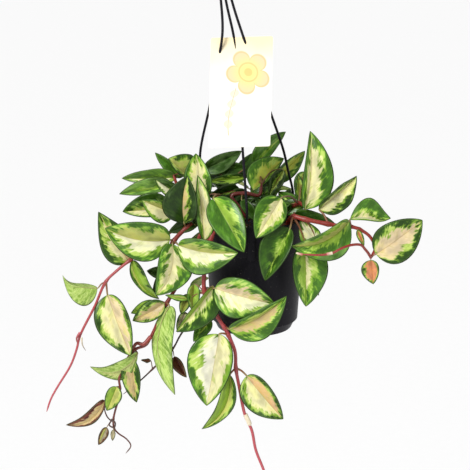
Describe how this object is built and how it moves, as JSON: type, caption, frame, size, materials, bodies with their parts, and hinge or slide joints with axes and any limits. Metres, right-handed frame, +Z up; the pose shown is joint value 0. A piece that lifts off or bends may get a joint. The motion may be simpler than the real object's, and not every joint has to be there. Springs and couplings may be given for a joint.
{
  "type": "potted tricolor wax plant in a hanging pot",
  "caption": "Trailing wax plant with cream, pink and green leaves in a black hanging pot, with a slim plastic hanger, its hook and a plain card.",
  "frame": {"origin": "the inner crown of the hook, the point by which the whole plant hangs", "axes": "+Z up, -Y towards the viewer at the front, +X to the viewer's right"},
  "size_m": [0.4451, 0.2476, 0.6945],
  "materials": {
    "black_plastic": "satin",
    "potting_soil": "matte",
    "card_stock": "matte",
    "variegated_leaf": "satin"
  },
  "bodies": {
    "root": {"pot": "black_plastic", "soil": "potting_soil", "hanger_hook": "black_plastic", "hanger_leg_front": "black_plastic", "hanger_leg_left": "black_plastic", "hanger_leg_right": "black_plastic", "plant_card": "card_stock", "vine_left_long": "variegated_leaf", "vine_left_crown": "variegated_leaf", "vine_lower_left": "variegated_leaf", "vine_front": "variegated_leaf", "vine_right": "variegated_leaf", "shoot_front_left": "variegated_leaf", "shoot_far_left": "variegated_leaf", "shoot_back_left": "variegated_leaf", "shoot_behind_card": "variegated_leaf", "shoot_right": "variegated_leaf", "vine_back_left": "variegated_leaf", "vine_back": "variegated_leaf", "vine_back_right": "variegated_leaf"}
  },
  "joints": []
}
